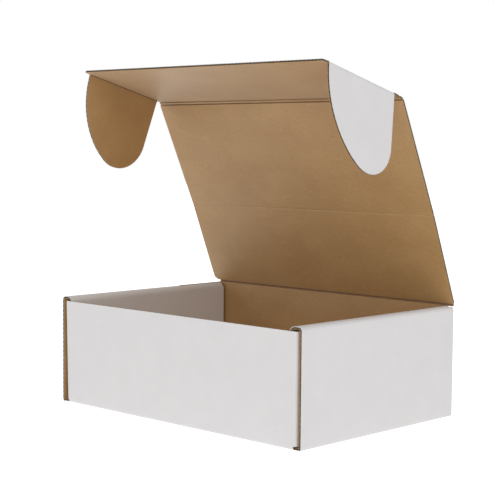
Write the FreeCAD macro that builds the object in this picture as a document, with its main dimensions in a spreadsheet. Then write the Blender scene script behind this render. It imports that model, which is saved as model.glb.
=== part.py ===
import FreeCAD, Part
import PartDesign, Sketcher
import math
import os
import re

# Corrugated mailer box, folded from one die-cut sheet: white outside, brown kraft inside.
# Frame: the box stands on its base at z = 0, the front wall faces -Y, the right side faces +X,
# and the origin is the middle of the base's underside. All lengths in millimetres, angles in degrees.

SIZES = {
    # The board, and the folds that it takes
    "board": 1.6,                # thickness of the E-flute board
    "fold_radius": 0.6,          # inside radius of a right-angle fold
    # The tray, measured over the outside
    "box_width": 226,
    "box_depth": 155,
    "roll_height": 75,           # top of the rolled side walls
    "front_height": 72,          # top of the single front wall
    # The rolled side walls: outer panel up, strip across, inner panel down
    "roll_width": 10,
    "roll_outer_radius": 1.0,
    "roll_inner_radius": 2.6,
    "side_setback": 0.6,         # outer panel's cut edges stand back from the front and the back
    "inner_front_gap": 0.8,      # inner panel to front wall
    "inner_back_gap": 1.5,       # inner panel and strip to back wall
    "inner_corner_across": 1.2,  # cut corner at the inner panel's top rear
    "inner_corner_down": 4.0,
    "floor_gap": 0.3,            # inner panel's lower edge above the base
    # The locking tabs of the inner panels, and their slots in the base
    "tab_width": 28,
    "tab_spacing": 76,
    "tab_inset": 0.2,            # tab's end above the underside of the base
    "slot_gap": 0.4,
    # The corner flaps of the front and back walls, caught inside the rolled walls
    "side_gap": 1.2,             # outer panel to corner flap
    "flap_reach": 45,
    "flap_taper": 6,
    "flap_foot": 4.0,            # flap's lower edge above the underside of the base
    "flap_drop": 3.0,            # flap's upper edge below the front wall's top
    "notch_width": 5.0,          # die-cut relief at the four bottom corners
    "notch_height": 3.6,
    # The folds that move: the turning line lies in the white face, the board is mitred behind it
    "hinge_gap": 0.15,
    "hinge_mitre": 33,
    "ear_mitre": 46,
    # The lid, and the narrow band between its two front creases
    "lid_open": 67.6,            # angle of the lid above its closed place
    "lid_overhang": 0.5,         # lid past the outer panels, each side
    "lid_bend_place": 66,        # faint bend across the lid, from the turning line
    "lid_bend": 2.6,
    "lid_length": 148.9,         # turning line to the first front crease
    "band_length": 3.5,
    "band_fold": 24,
    "lid_corner_across": 3.5,    # cut corners beside the turning line
    "lid_corner_along": 2.8,
    # The front flap
    "front_flap_length": 75.2,
    "front_flap_fold": 26.3,     # turned in from the band
    "front_flap_inset": 2.0,     # ear folds inside the lid's sides
    "tip_inset": 1.2,
    # The two ears on the ends of the front flap
    "ear_start": 4.5,            # first end of the ear's fold, from the flap's turning line
    "ear_width": 65.5,
    "ear_length": 58.5,
    "ear_nose_radius": 21.5,
    "ear_clearance": 0.4,        # cut between the ends of the ear's fold and the flap
    "ear_fold": 82,
}

doc = FreeCAD.newDocument("mailer_box")
sheet = doc.addObject("Spreadsheet::Sheet", "Sizes")
for row, (alias, number) in enumerate(SIZES.items(), start=1):
    sheet.set("A%d" % row, alias)
    sheet.set("B%d" % row, str(number))
    sheet.setAlias("B%d" % row, alias)
doc.recompute()

ALIAS = re.compile(r"\b(" + "|".join(SIZES) + r")\b")
ROOT_POINT = (-1, 1)


def number_of(expression):
    """What an expression in the sheet's aliases comes to."""
    return float(sheet.evalExpression(expression))


def bind(thing, prop, expression):
    """Tie a property of an object to the sheet."""
    thing.setExpression(prop, ALIAS.sub(r"Sizes.\1", expression))


def add_limit(sketch, kind, *where, expression):
    """Add a dimension to a sketch, and tie it to the sheet."""
    index = sketch.addConstraint(Sketcher.Constraint(kind, *where, number_of(expression)))
    bind(sketch, "Constraints[%d]" % index, expression)


def place_point(sketch, line, end, across=None, up=None):
    """Fix one end of a line at a distance across and up from the origin; -1 and -2 are the sketch's two axes."""
    for kind, expression, axis in (("DistanceX", across, -2), ("DistanceY", up, -1)):
        if expression is None:
            continue
        if expression == "0":
            sketch.addConstraint(Sketcher.Constraint("PointOnObject", line, end, axis))
        else:
            add_limit(sketch, kind, *ROOT_POINT, line, end, expression=expression)


def new_sketch(body, name, role, offset=None):
    """A sketch on one of the body's own planes, moved along that plane's normal if asked."""
    plane = next(item for item in body.Origin.OriginFeatures if item.Role == role)
    sketch = body.newObject("Sketcher::SketchObject", name)
    sketch.AttachmentSupport = [(plane, "")]
    sketch.MapMode = "FlatFace"
    if offset is not None:
        bind(sketch, ".AttachmentOffset.Base.z", offset)
    return sketch


def add_polygon(sketch, corners):
    """A closed outline of straight lines through corners given as expressions."""
    points = [FreeCAD.Vector(number_of(across), number_of(up), 0) for across, up in corners]
    lines = []
    for start, end in zip(points, points[1:] + points[:1]):
        lines.append(sketch.addGeometry(Part.LineSegment(start, end), False))
    for line, after in zip(lines, lines[1:] + lines[:1]):
        sketch.addConstraint(Sketcher.Constraint("Coincident", line, 2, after, 1))
    for line, (across, up) in zip(lines, corners):
        place_point(sketch, line, 1, across, up)


def add_rectangle(sketch, left, right, low, high):
    """A closed rectangle between four expressions."""
    add_polygon(sketch, [(left, low), (right, low), (right, high), (left, high)])


def add_face_line(sketch, corners, radii):
    """One face of a folded board: lines along the axes, with a tangent arc at each fold.

    Gives back the first and the last line.
    """
    points = [FreeCAD.Vector(number_of(across), number_of(up), 0) for across, up in corners]
    runs = [(end - start).normalize() for start, end in zip(points, points[1:])]
    bends = [0.0] + [number_of(radius) for radius in radii] + [0.0]
    lines = []
    for index, run in enumerate(runs):
        start = points[index] + run * bends[index]
        end = points[index + 1] - run * bends[index + 1]
        line = sketch.addGeometry(Part.LineSegment(start, end), False)
        level = abs(run.y) < abs(run.x)
        sketch.addConstraint(Sketcher.Constraint("Horizontal" if level else "Vertical", line))
        if level:
            place_point(sketch, line, 1, up=corners[index][1])
        else:
            place_point(sketch, line, 1, across=corners[index][0])
        lines.append(line)
    for index, radius in enumerate(radii):
        before, after = runs[index], runs[index + 1]
        reach = bends[index + 1]
        corner = points[index + 1]
        centre = corner - before * reach + after * reach
        left_turn = before.cross(after).z > 0
        first, second = (-after, before) if left_turn else (before, -after)
        start_angle = math.atan2(first.y, first.x)
        end_angle = math.atan2(second.y, second.x)
        circle = Part.Circle(centre, FreeCAD.Vector(0, 0, 1), reach)
        arc = sketch.addGeometry(Part.ArcOfCircle(circle, start_angle, end_angle), False)
        entry, leave = (1, 2) if left_turn else (2, 1)
        sketch.addConstraint(Sketcher.Constraint("Tangent", lines[index], 2, arc, entry))
        sketch.addConstraint(Sketcher.Constraint("Tangent", arc, leave, lines[index + 1], 1))
        add_limit(sketch, "Radius", arc, expression=radius)
    return lines[0], lines[-1]


def add_folded_section(sketch, white, kraft, radii):
    """The closed section of a folded board, from the corners of its white and its kraft face."""
    white_radii = ["%s + board" % radius for radius in radii]
    white_first, white_last = add_face_line(sketch, white, white_radii)
    kraft_first, kraft_last = add_face_line(sketch, kraft, radii)
    ends = ((white_first, kraft_first, 1, white[0], white[1]),
            (white_last, kraft_last, 2, white[-1], white[-2]))
    for outer, inner, end, corner, neighbour in ends:
        start = sketch.getPoint(outer, end)
        stop = sketch.getPoint(inner, end)
        cap = sketch.addGeometry(Part.LineSegment(start, stop), False)
        sketch.addConstraint(Sketcher.Constraint("Coincident", cap, 1, outer, end))
        sketch.addConstraint(Sketcher.Constraint("Coincident", cap, 2, inner, end))
        level = corner[1] != neighbour[1]
        sketch.addConstraint(Sketcher.Constraint("Horizontal" if level else "Vertical", cap))
        if level:
            place_point(sketch, cap, 1, up=corner[1])
        else:
            place_point(sketch, cap, 1, across=corner[0])


def make_feature(body, kind, name, sketch, length=None, midplane=False, reversed_way=False):
    """A pad or a pocket from a sketch; with no length, a pocket cuts all through."""
    feature = body.newObject(kind, name)
    feature.Profile = sketch
    feature.Midplane = midplane
    feature.Reversed = reversed_way
    if length is None:
        feature.Type = "ThroughAll"
    else:
        bind(feature, "Length", length)
    sketch.Visibility = False
    doc.recompute()
    return feature


def pad(body, name, sketch, length, midplane=False, reversed_way=False):
    return make_feature(body, "PartDesign::Pad", name, sketch, length, midplane, reversed_way)


def pocket(body, name, sketch, length=None, midplane=False, reversed_way=False):
    before = body.Shape.Volume
    feature = make_feature(body, "PartDesign::Pocket", name, sketch, length, midplane, reversed_way)
    if not body.Shape.Volume < before:
        raise RuntimeError("the pocket %s cuts nothing" % name)
    return feature


def on_side(sign, expression):
    """The same distance on the right (1) or the left (-1) of the middle."""
    if expression == "0":
        return expression
    return "-(%s)" % expression if sign < 0 else expression


# Places that several pieces share, as expressions
HALF_WIDTH = "box_width / 2"
HALF_DEPTH = "box_depth / 2"
BEND = "(board + fold_radius)"
TURN_HEIGHT = "roll_height + board"
SIDE_INSIDE = "box_width / 2 - board"
FLAP_OUTSIDE = "box_width / 2 - board - side_gap"
FLAP_INSIDE = "box_width / 2 - 2 * board - side_gap"
WALL_REACH = "%s - %s" % (FLAP_OUTSIDE, BEND)
INNER_FACE = "box_width / 2 - roll_width"
INNER_BACK = "box_width / 2 - roll_width + board"
LID_HALF = "box_width / 2 + lid_overhang"
EAR_FOLD_PLACE = "box_width / 2 + lid_overhang - front_flap_inset"
SIDES = ((1, "right"), (-1, "left"))


def make_tray():
    """Base, front wall, back wall, rolled side walls, corner flaps and locking tabs, in one sheet."""
    body = doc.addObject("PartDesign::Body", "Tray")
    body.Label = "tray"

    # Front wall, base and back wall: a channel seen from the side
    back_top = "%s - hinge_gap" % TURN_HEIGHT
    channel = new_sketch(body, "ChannelSection", "YZ_Plane")
    add_folded_section(
        channel,
        white=[("-" + HALF_DEPTH, "front_height"), ("-" + HALF_DEPTH, "0"),
               (HALF_DEPTH, "0"), (HALF_DEPTH, back_top)],
        kraft=[("-%s + board" % HALF_DEPTH, "front_height"), ("-%s + board" % HALF_DEPTH, "board"),
               ("%s - board" % HALF_DEPTH, "board"), ("%s - board" % HALF_DEPTH, back_top)],
        radii=["fold_radius", "fold_radius"])
    pad(body, "Channel", channel, "2 * (%s)" % WALL_REACH, midplane=True)

    # The base runs wider than the two walls, up to the side folds
    base = new_sketch(body, "BaseOutline", "XY_Plane")
    base_half = "%s - %s" % (HALF_WIDTH, BEND)
    base_end = "%s - %s" % (HALF_DEPTH, BEND)
    add_rectangle(base, "-(%s)" % base_half, base_half, "-(%s)" % base_end, base_end)
    pad(body, "Base", base, "board")

    # Rolled side walls: outer panel, strip over the top, inner panel back down
    lip = "%s - %s - board" % (HALF_WIDTH, BEND)
    rolls = new_sketch(body, "RollSections", "XZ_Plane")
    for sign, _ in SIDES:
        white = [(lip, "0"), (HALF_WIDTH, "0"), (HALF_WIDTH, "roll_height"),
                 (INNER_FACE, "roll_height"), (INNER_FACE, "board + floor_gap")]
        kraft = [(lip, "board"), (SIDE_INSIDE, "board"), (SIDE_INSIDE, "roll_height - board"),
                 (INNER_BACK, "roll_height - board"), (INNER_BACK, "board + floor_gap")]
        add_folded_section(
            rolls,
            white=[(on_side(sign, across), up) for across, up in white],
            kraft=[(on_side(sign, across), up) for across, up in kraft],
            radii=["fold_radius", "roll_outer_radius", "roll_inner_radius"])
    pad(body, "Rolls", rolls, "box_depth - 2 * side_setback", midplane=True)

    # Upright folds at the ends of the front and back walls
    fold_foot = "board + floor_gap"
    for name, wall_sign, top in (("Front", -1, "front_height"), ("Back", 1, back_top)):
        folds = new_sketch(body, name + "CornerFolds", "XY_Plane", offset=fold_foot)
        outer_face = on_side(wall_sign, HALF_DEPTH)
        inner_face = on_side(wall_sign, "%s - board" % HALF_DEPTH)
        fold_end = on_side(wall_sign, "%s - %s - board" % (HALF_DEPTH, BEND))
        for sign, _ in SIDES:
            add_folded_section(
                folds,
                white=[(on_side(sign, "%s - board" % WALL_REACH), outer_face),
                       (on_side(sign, FLAP_OUTSIDE), outer_face),
                       (on_side(sign, FLAP_OUTSIDE), fold_end)],
                kraft=[(on_side(sign, "%s - board" % WALL_REACH), inner_face),
                       (on_side(sign, FLAP_INSIDE), inner_face),
                       (on_side(sign, FLAP_INSIDE), fold_end)],
                radii=["fold_radius"])
        pad(body, name + "Folds", folds, "%s - (%s)" % (top, fold_foot))

    # Corner flaps, caught in the hollow of the rolled walls
    flap_root = "%s - %s" % (HALF_DEPTH, BEND)
    flap_end = "%s - flap_reach" % HALF_DEPTH
    flap_top = "front_height - flap_drop"
    for sign, side in SIDES:
        place = FLAP_INSIDE if sign > 0 else "-(%s)" % FLAP_OUTSIDE
        flaps = new_sketch(body, side + "CornerFlaps", "YZ_Plane", offset=place)
        for wall_sign in (-1, 1):
            add_polygon(flaps, [(on_side(wall_sign, flap_root), "flap_foot"),
                                (on_side(wall_sign, flap_end), "flap_foot + flap_taper"),
                                (on_side(wall_sign, flap_end), "%s - flap_taper" % flap_top),
                                (on_side(wall_sign, flap_root), flap_top)])
        pad(body, side + "Flaps", flaps, "board")

    # The inner panels stop short of the front wall, and with the strip short of the back wall
    trim_foot = "board + floor_gap / 2"
    trim_top = "roll_height - board - roll_inner_radius"
    trims = new_sketch(body, "PanelFrontOutline", "XZ_Plane", offset=HALF_DEPTH)
    for sign, _ in SIDES:
        add_rectangle(trims, on_side(sign, "%s - board" % INNER_FACE), on_side(sign, INNER_BACK),
                      trim_foot, trim_top)
    pocket(body, "PanelFrontTrims", trims, "board + inner_front_gap")
    trims = new_sketch(body, "StripBackOutline", "XZ_Plane", offset="-" + HALF_DEPTH)
    for sign, _ in SIDES:
        add_rectangle(trims, on_side(sign, WALL_REACH), on_side(sign, SIDE_INSIDE),
                      "roll_height - board", TURN_HEIGHT)
    pocket(body, "StripBackTrims", trims, "board + inner_back_gap", reversed_way=True)
    trims = new_sketch(body, "PanelBackOutline", "XZ_Plane", offset="-(%s - board)" % HALF_DEPTH)
    for sign, _ in SIDES:
        add_rectangle(trims, on_side(sign, "%s - board" % INNER_FACE), on_side(sign, WALL_REACH),
                      trim_foot, TURN_HEIGHT)
    pocket(body, "PanelBackTrims", trims, "inner_back_gap", reversed_way=True)

    # A cut corner at the top rear of each inner panel
    panel_back = "%s - board - inner_back_gap" % HALF_DEPTH
    for sign, side in SIDES:
        corner = new_sketch(body, side + "PanelCorner", "YZ_Plane", offset=on_side(sign, INNER_FACE))
        add_polygon(corner, [("%s - inner_corner_across" % panel_back, "roll_height"),
                             (panel_back, "roll_height - inner_corner_down"),
                             ("%s + inner_back_gap / 2" % panel_back, "roll_height - inner_corner_down"),
                             ("%s + inner_back_gap / 2" % panel_back, TURN_HEIGHT),
                             ("%s - inner_corner_across" % panel_back, TURN_HEIGHT)])
        pocket(body, side + "CornerCut", corner, "roll_width - board", reversed_way=sign > 0)

    # Slots in the base, then the tabs of the inner panels down through them
    for name, gap in (("Slot", "slot_gap"), ("Tab", "0")):
        outline = new_sketch(body, name + "Outlines", "XY_Plane",
                             offset="tab_inset" if name == "Tab" else None)
        for sign, _ in SIDES:
            for end_sign in (-1, 1):
                centre = on_side(end_sign, "tab_spacing / 2")
                half = "(tab_width / 2 + %s)" % gap
                add_rectangle(outline,
                              on_side(sign, "%s - %s" % (INNER_FACE, gap)),
                              on_side(sign, "%s + %s" % (INNER_BACK, gap)),
                              "%s - %s" % (centre, half), "%s + %s" % (centre, half))
        if name == "Slot":
            pocket(body, "Slots", outline, trim_foot, reversed_way=True)
        else:
            pad(body, "Tabs", outline, "board + floor_gap")

    # Die-cut relief where the folds meet at the bottom corners
    for name, wall_sign in (("Front", -1), ("Back", 1)):
        notches = new_sketch(body, name + "NotchOutlines", "XZ_Plane",
                             offset=on_side(-wall_sign, HALF_DEPTH))
        for sign, _ in SIDES:
            add_polygon(notches, [(on_side(sign, "%s - notch_width" % SIDE_INSIDE), "0"),
                                  (on_side(sign, FLAP_OUTSIDE), "notch_height"),
                                  (on_side(sign, SIDE_INSIDE), "notch_height"),
                                  (on_side(sign, SIDE_INSIDE), "0")])
        pocket(body, name + "Notches", notches, "%s + hinge_gap" % BEND, reversed_way=wall_sign > 0)

    # The top of the back wall is mitred behind the lid's turning line
    mitre = new_sketch(body, "BackMitre", "YZ_Plane")
    drop = "2 * board * tan(hinge_mitre)"
    add_polygon(mitre, [(HALF_DEPTH, back_top),
                        ("%s - 2 * board" % HALF_DEPTH, "%s - %s" % (back_top, drop)),
                        ("%s - 2 * board" % HALF_DEPTH, "%s + board" % back_top),
                        (HALF_DEPTH, "%s + board" % back_top)])
    pocket(body, "BackTopMitre", mitre, midplane=True)
    return body


def make_lid():
    """The lid, drawn shut along -Y from its turning line, with the band between its front creases."""
    body = doc.addObject("PartDesign::Body", "Lid")
    body.Label = "lid"
    section = new_sketch(body, "LidSection", "YZ_Plane")
    after_band = "(lid_bend + band_fold)"
    half_fold = "(lid_bend + band_fold / 2)"
    run = "(lid_length - lid_bend_place)"
    crease_out = "lid_bend_place + %s * cos(lid_bend)" % run
    crease_down = "%s * sin(lid_bend)" % run
    end_out = "%s + (band_length - hinge_gap) * cos(%s)" % (crease_out, after_band)
    end_down = "%s + (band_length - hinge_gap) * sin(%s)" % (crease_down, after_band)
    mitre = "board * tan(hinge_mitre)"
    white = [("hinge_gap", "0"),
             ("lid_bend_place", "0"),
             (crease_out, crease_down),
             (end_out, end_down)]
    kraft = [("%s + board * sin(%s) * -1 - %s * cos(%s)" % (end_out, after_band, mitre, after_band),
              "%s + board * cos(%s) - %s * sin(%s)" % (end_down, after_band, mitre, after_band)),
             ("%s - board * sin(%s) / cos(band_fold / 2)" % (crease_out, half_fold),
              "%s + board * cos(%s) / cos(band_fold / 2)" % (crease_down, half_fold)),
             ("lid_bend_place - board * tan(lid_bend / 2)", "board"),
             ("hinge_gap + %s" % mitre, "board")]
    add_polygon(section, [("-(%s)" % out, down if down == "0" else "-(%s)" % down)
                          for out, down in white + kraft])
    pad(body, "LidBoard", section, "2 * (%s)" % LID_HALF, midplane=True)

    # Cut corners beside the turning line
    corners = new_sketch(body, "LidCornerOutlines", "XY_Plane")
    for sign, _ in SIDES:
        add_polygon(corners, [(on_side(sign, "%s - lid_corner_across" % LID_HALF), "0"),
                              (on_side(sign, LID_HALF), "-lid_corner_along"),
                              (on_side(sign, "%s + board" % LID_HALF), "-lid_corner_along"),
                              (on_side(sign, "%s + board" % LID_HALF), "board"),
                              (on_side(sign, "%s - lid_corner_across" % LID_HALF), "board")])
    pocket(body, "LidCorners", corners, midplane=True)
    bind(body, "Placement",
         "create(<<placement>>; create(<<vector>>; 0; %s; %s);"
         " create(<<rotation>>; create(<<vector>>; 1; 0; 0); -lid_open))" % (HALF_DEPTH, TURN_HEIGHT))
    return body


def make_front_flap():
    """The front flap, drawn flat along -Y from its turning line at the end of the lid's band."""
    body = doc.addObject("PartDesign::Body", "FrontFlap")
    body.Label = "front_flap"
    outline = new_sketch(body, "FlapOutline", "XY_Plane")
    side = "%s - hinge_gap" % EAR_FOLD_PLACE
    ear_end = "(ear_start + ear_width)"
    tip = "%s - tip_inset" % side
    add_polygon(outline, [(side, "-hinge_gap"), (side, "-" + ear_end), (tip, "-front_flap_length"),
                          ("-(%s)" % tip, "-front_flap_length"), ("-(%s)" % side, "-" + ear_end),
                          ("-(%s)" % side, "-hinge_gap")])
    pad(body, "FlapBoard", outline, "board", reversed_way=True)

    mitre = new_sketch(body, "FlapMitre", "YZ_Plane")
    add_polygon(mitre, [("-hinge_gap", "0"),
                        ("-hinge_gap - 2 * board * tan(hinge_mitre)", "-2 * board"),
                        ("board", "-2 * board"),
                        ("board", "0")])
    pocket(body, "FlapTurnMitre", mitre, midplane=True)
    mitres = new_sketch(body, "EarSideMitres", "XZ_Plane", offset="ear_start - ear_clearance")
    for sign, _ in SIDES:
        add_polygon(mitres, [(on_side(sign, side), "0"),
                             (on_side(sign, "%s - 2 * board * tan(ear_mitre)" % side), "-2 * board"),
                             (on_side(sign, "%s + board" % side), "-2 * board"),
                             (on_side(sign, "%s + board" % side), "0")])
    pocket(body, "EarSideCuts", mitres, "ear_width + 2 * ear_clearance", reversed_way=True)

    run = "(lid_length - lid_bend_place)"
    out = "(lid_bend_place + %s * cos(lid_bend) + band_length * cos(lid_bend + band_fold))" % run
    down = "(%s * sin(lid_bend) + band_length * sin(lid_bend + band_fold))" % run
    bind(body, "Placement",
         "Lid.Placement * create(<<placement>>; create(<<vector>>; 0; -%s; -%s);"
         " create(<<rotation>>; create(<<vector>>; 1; 0; 0); lid_bend + band_fold + front_flap_fold))"
         % (out, down))
    return body


def nearest_end(sketch, arc, point):
    """Which end of an arc lies at a point: 1 or 2."""
    return min((1, 2), key=lambda end: (sketch.getPoint(arc, end) - point).Length)


def make_ear(sign, side):
    """A rounded ear, drawn flat from its fold on the front flap's side."""
    body = doc.addObject("PartDesign::Body", "Ear" + side.capitalize())
    body.Label = side + "_ear"
    outline = new_sketch(body, "EarOutline", "XY_Plane")
    nose = number_of("ear_nose_radius")
    reach = number_of("ear_length - ear_nose_radius")
    beside = number_of("ear_width - ear_nose_radius")
    start, end = number_of("-ear_start"), number_of("-(ear_start + ear_width)")
    sweep = (beside ** 2 + reach ** 2 - nose ** 2) / (2 * (beside - nose))
    nose_centre = FreeCAD.Vector(sign * reach, start - nose, 0)
    sweep_centre = FreeCAD.Vector(0, end + sweep, 0)
    outward = (nose_centre - sweep_centre).normalize()
    joint = nose_centre + outward * nose
    root_near = FreeCAD.Vector(sign * number_of("hinge_gap"), start, 0)
    root_far = FreeCAD.Vector(sign * number_of("hinge_gap"), end, 0)
    nose_start = FreeCAD.Vector(sign * reach, start, 0)
    nose_middle = nose_centre + (outward + FreeCAD.Vector(0, 1, 0)).normalize() * nose
    sweep_middle = sweep_centre + (outward + FreeCAD.Vector(0, -1, 0)).normalize() * sweep

    rear = outline.addGeometry(Part.LineSegment(root_near, nose_start), False)
    nose_arc = outline.addGeometry(Part.Arc(nose_start, nose_middle, joint), False)
    sweep_arc = outline.addGeometry(Part.Arc(joint, sweep_middle, root_far), False)
    root = outline.addGeometry(Part.LineSegment(root_far, root_near), False)
    nose_near = nearest_end(outline, nose_arc, nose_start)
    sweep_near = nearest_end(outline, sweep_arc, joint)
    for first, first_end, second, second_end, kind in (
            (rear, 2, nose_arc, nose_near, "Tangent"),
            (nose_arc, 3 - nose_near, sweep_arc, sweep_near, "Tangent"),
            (sweep_arc, 3 - sweep_near, root, 1, "Coincident"),
            (root, 2, rear, 1, "Coincident")):
        outline.addConstraint(Sketcher.Constraint(kind, first, first_end, second, second_end))
    outline.addConstraint(Sketcher.Constraint("Horizontal", rear))
    outline.addConstraint(Sketcher.Constraint("PointOnObject", sweep_arc, 3, -2))
    add_limit(outline, "Radius", nose_arc, expression="ear_nose_radius")
    add_limit(outline, "DistanceX", *ROOT_POINT, nose_arc, 3,
              expression=on_side(sign, "ear_length - ear_nose_radius"))
    place_point(outline, root, 1, on_side(sign, "hinge_gap"), "-(ear_start + ear_width)")
    place_point(outline, root, 2, on_side(sign, "hinge_gap"), "-ear_start")
    pad(body, "EarBoard", outline, "board", reversed_way=True)

    mitre = new_sketch(body, "EarMitre", "XZ_Plane")
    add_polygon(mitre, [(on_side(sign, "hinge_gap"), "0"),
                        (on_side(sign, "hinge_gap + 2 * board * tan(ear_mitre)"), "-2 * board"),
                        (on_side(-sign, "board"), "-2 * board"),
                        (on_side(-sign, "board"), "0")])
    pocket(body, "EarFoldMitre", mitre, midplane=True)
    bind(body, "Placement",
         "FrontFlap.Placement * create(<<placement>>; create(<<vector>>; %s; 0; 0);"
         " create(<<rotation>>; create(<<vector>>; 0; 1; 0); %s))"
         % (on_side(sign, EAR_FOLD_PLACE), on_side(sign, "ear_fold")))
    return body


def check_and_write(bodies):
    """Stop if anything failed, then write each piece under its own name."""
    doc.recompute()
    for item in doc.Objects:
        if "Invalid" in item.State or "Error" in item.State:
            raise RuntimeError("%s failed: %s" % (item.Name, item.State))
    for body in bodies:
        shape = body.Shape
        if shape.isNull() or not shape.isValid() or len(shape.Solids) != 1:
            raise RuntimeError("%s isn't one sound solid" % body.Label)
    os.makedirs("parts", exist_ok=True)
    for body in bodies:
        body.Shape.exportStep("parts/%s.step" % body.Label)
        box = body.Shape.BoundBox
        print("%s: %.0f mm3, x %.1f to %.1f, y %.1f to %.1f, z %.1f to %.1f" % (
            body.Label, body.Shape.Volume, box.XMin, box.XMax, box.YMin, box.YMax, box.ZMin, box.ZMax))


check_and_write([make_tray(), make_lid(), make_front_flap()]
                + [make_ear(sign, side) for sign, side in SIDES])
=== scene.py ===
# %% [markdown]
# # A corrugated mailer box
# The box is one die-cut sheet of corrugated board, white paper outside and brown kraft paper inside.
# Its walls are folded and locked, and the lid, the front flap and the two ears still turn. The packed
# model is the fixed frame: it says where every wall stands, and which pieces turn with which.

# %% Load the frame
import bmesh
import bpy
import math
from mathutils import Matrix, Vector


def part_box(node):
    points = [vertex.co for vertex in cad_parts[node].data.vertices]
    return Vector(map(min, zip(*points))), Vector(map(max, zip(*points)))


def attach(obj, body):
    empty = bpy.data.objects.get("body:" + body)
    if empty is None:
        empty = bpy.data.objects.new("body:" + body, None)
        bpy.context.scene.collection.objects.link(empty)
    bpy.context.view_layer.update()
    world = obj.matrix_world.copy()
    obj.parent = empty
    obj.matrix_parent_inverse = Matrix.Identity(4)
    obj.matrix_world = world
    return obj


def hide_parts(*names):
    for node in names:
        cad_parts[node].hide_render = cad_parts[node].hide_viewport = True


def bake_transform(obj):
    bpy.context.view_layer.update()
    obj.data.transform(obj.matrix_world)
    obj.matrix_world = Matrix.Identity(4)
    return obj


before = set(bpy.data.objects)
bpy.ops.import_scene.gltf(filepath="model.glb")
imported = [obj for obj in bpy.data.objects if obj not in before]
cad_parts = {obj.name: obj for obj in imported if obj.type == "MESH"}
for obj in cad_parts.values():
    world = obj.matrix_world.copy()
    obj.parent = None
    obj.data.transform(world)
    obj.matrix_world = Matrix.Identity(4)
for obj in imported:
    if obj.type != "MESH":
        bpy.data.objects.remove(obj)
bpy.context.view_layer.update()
tray_low, tray_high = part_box("tray")
print("tray from", [round(c, 4) for c in tray_low], "to", [round(c, 4) for c in tray_high])

# %% [markdown]
# ## The view
# The photograph is taken a little above the box, at its front right corner, with a long lens. A camera
# is placed there first, because every later choice is judged through it. Its place, its turn round the
# box, its lift above level and its small roll are plain values, so that they can be read and changed
# one by one. They were found by fitting the corners of the box to the photograph.

# %% Place the camera
MM = 0.001
SENSOR, FOCAL_PIXELS, PHOTO_PIXELS = 36, 1348.3, 496
camera_place = (637.7 * MM, -670.7 * MM, 181.7 * MM)
turn, lift, roll = math.radians(43.83), math.radians(4.32), math.radians(0.46)
camera_data = bpy.data.cameras.new("photo_camera")
camera = bpy.data.objects.new("photo_camera", camera_data)
bpy.context.scene.collection.objects.link(camera)
camera_data.sensor_width = SENSOR
camera_data.lens = FOCAL_PIXELS * SENSOR / PHOTO_PIXELS
camera_data.clip_start = 50 * MM
backwards = Vector((math.sin(turn) * math.cos(lift), -math.cos(turn) * math.cos(lift), math.sin(lift)))
level = Vector((0, 0, 1)).cross(backwards).normalized()
upright = backwards.cross(level)
right = level * math.cos(roll) + upright * math.sin(roll)
above = upright * math.cos(roll) - level * math.sin(roll)
facing = Matrix((right, above, backwards)).transposed().to_4x4()
camera.matrix_world = Matrix.Translation(camera_place) @ facing
bpy.context.scene.camera = camera
print("lens", round(camera_data.lens, 2), "mm")

# %% [markdown]
# ## The sizes
# Every wall follows a few sizes of the sheet. E-flute board is about 1.6 mm thick: two papers with a
# waved paper between them, whose waves come about every 3.2 mm. The waves run from front to back here,
# so they show on the cut edges that face the front.

# %% Write down the sizes
BOARD = 1.6 * MM
PAPER = 0.26 * MM
WAVE_PAPER = 0.18 * MM
WAVE = 3.2 * MM
WAVE_STEP = WAVE / 8
FOLD = 0.6 * MM
FOLD_ROUND = FOLD + BOARD
HALF_WIDTH, HALF_DEPTH = 113 * MM, 77.5 * MM
ROLL_TOP, FRONT_TOP = 75 * MM, 72 * MM
TURN_TOP = ROLL_TOP + BOARD
ROLL_WIDTH = 10 * MM
CREASE, EAR_CREASE = 1.2 * MM, 1.8 * MM
LID_OVERHANG, FLAP_INSET = 0.5 * MM, 2.0 * MM
LID_HALF = HALF_WIDTH + LID_OVERHANG
FLAP_HALF = LID_HALF - FLAP_INSET
LID_OPEN = math.radians(67.6)
LID_BEND_PLACE, LID_BEND = 66 * MM, math.radians(2.6)
LID_LENGTH, BAND, BAND_FOLD = 148.9 * MM, 3.5 * MM, math.radians(24)
FLAP_LENGTH, FLAP_FOLD = 75.2 * MM, math.radians(26.3)
EAR_START, EAR_WIDTH, EAR_LENGTH = 4.5 * MM, 65.5 * MM, 58.5 * MM
EAR_NOSE, EAR_FOLD = 21.5 * MM, math.radians(82)
print("board", BOARD / MM, "mm, hinge line at", TURN_TOP / MM, "mm")

# %% [markdown]
# ## Bench tools
# A folded wall starts as a plane, the way a maker scores and folds a flat sheet: each next wall is
# pulled out of the last edge, and each fold is rounded with a bevel. These few helpers pick edges by
# their place, pull, round and cut, and nothing is selected by hand. Places nearer to each other than a
# thousandth of a millimetre count as the same.

# %% Helpers for picking and cutting
SAME_PLACE, SAME_CUT = 1e-6, 1e-7


def start_object(piece=None):
    """Leave edit mode with nothing selected, then make a piece the active one."""
    if bpy.context.object and bpy.context.object.mode != "OBJECT":
        bpy.ops.object.mode_set(mode="OBJECT")
    bpy.ops.object.select_all(action="DESELECT")
    if piece:
        piece.select_set(True)
        bpy.context.view_layer.objects.active = piece


def pick_edges(on_line):
    """In edit mode, select the edges whose two ends pass a test."""
    bpy.ops.mesh.select_all(action="DESELECT")
    mesh = bmesh.from_edit_mesh(bpy.context.object.data)
    for edge in mesh.edges:
        if all(on_line(vert.co) for vert in edge.verts):
            edge.select_set(True)
    bmesh.update_edit_mesh(bpy.context.object.data)


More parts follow.
